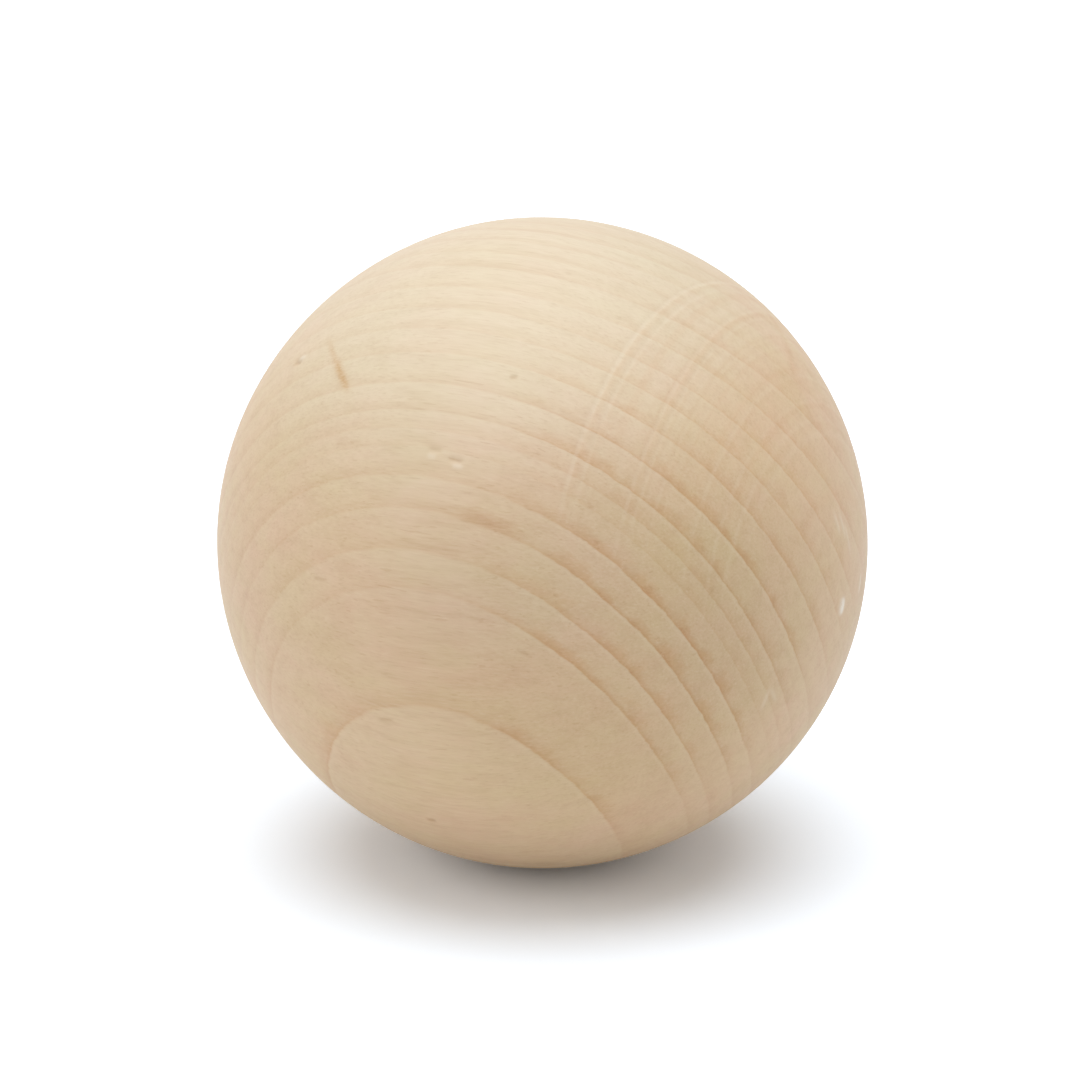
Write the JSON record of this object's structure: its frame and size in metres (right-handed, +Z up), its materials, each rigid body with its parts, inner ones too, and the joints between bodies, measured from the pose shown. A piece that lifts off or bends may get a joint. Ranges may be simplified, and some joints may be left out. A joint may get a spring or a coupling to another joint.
{
  "type": "wooden ball",
  "caption": "Plain turned ball of pale hardwood, sanded smooth and left unfinished, with fine growth rings. Rolls freely, and serves as a blank for knobs, finials, toys and crafts.",
  "frame": {"origin": "middle of the ball", "axes": "+Z up, +X to the right and +Y away from the viewer as the ball lies in the picture"},
  "size_m": [0.0508, 0.0508, 0.0508],
  "materials": {
    "bare_wood": "bare pale hardwood, sanded, satin"
  },
  "bodies": {
    "root": {"wooden_ball": "bare_wood"}
  },
  "joints": []
}
